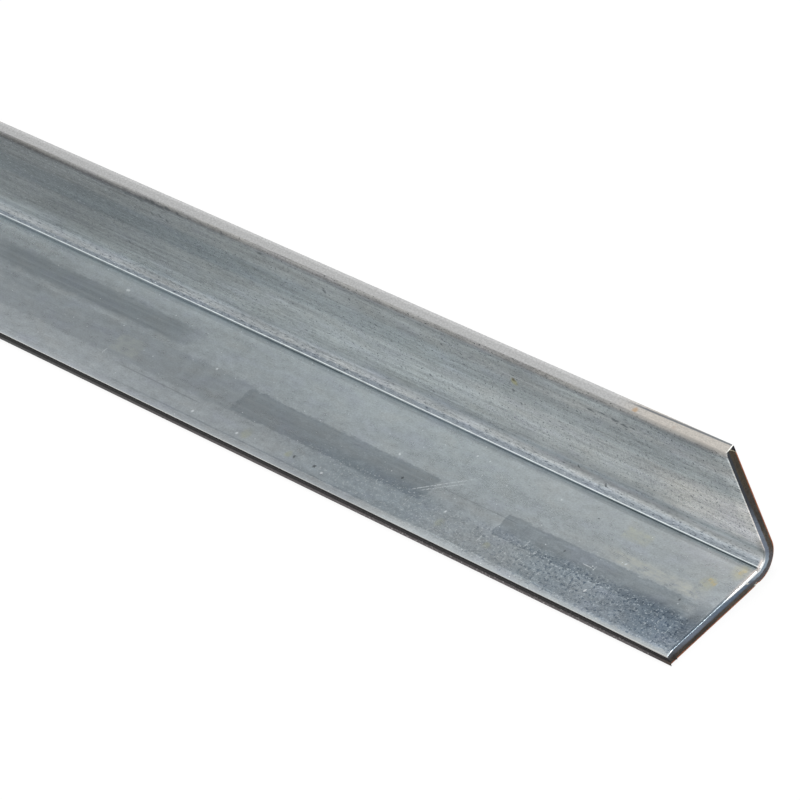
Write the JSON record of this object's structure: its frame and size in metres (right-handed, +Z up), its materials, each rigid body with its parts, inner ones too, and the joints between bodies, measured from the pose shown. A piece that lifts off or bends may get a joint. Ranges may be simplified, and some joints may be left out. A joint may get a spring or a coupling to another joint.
{
  "type": "steel angle section",
  "caption": "Straight length of cold-formed zinc-coated steel angle with equal legs, a rounded heel, slit toe edges and sheared ends.",
  "frame": {"origin": "middle of the length, under the middle of the section's box, at the height of the flat leg's underside", "axes": "+X along the length, +Z up from the surface it lies on; the flat leg reaches towards -Y and the upright leg stands along the +Y side"},
  "size_m": [1, 0.025, 0.025],
  "materials": {
    "zinc_coated_steel": "dull grey zinc coat with fine streaks along the length, bare dark steel on the sheared ends"
  },
  "bodies": {
    "root": {"angle_section": "zinc_coated_steel"}
  },
  "joints": []
}
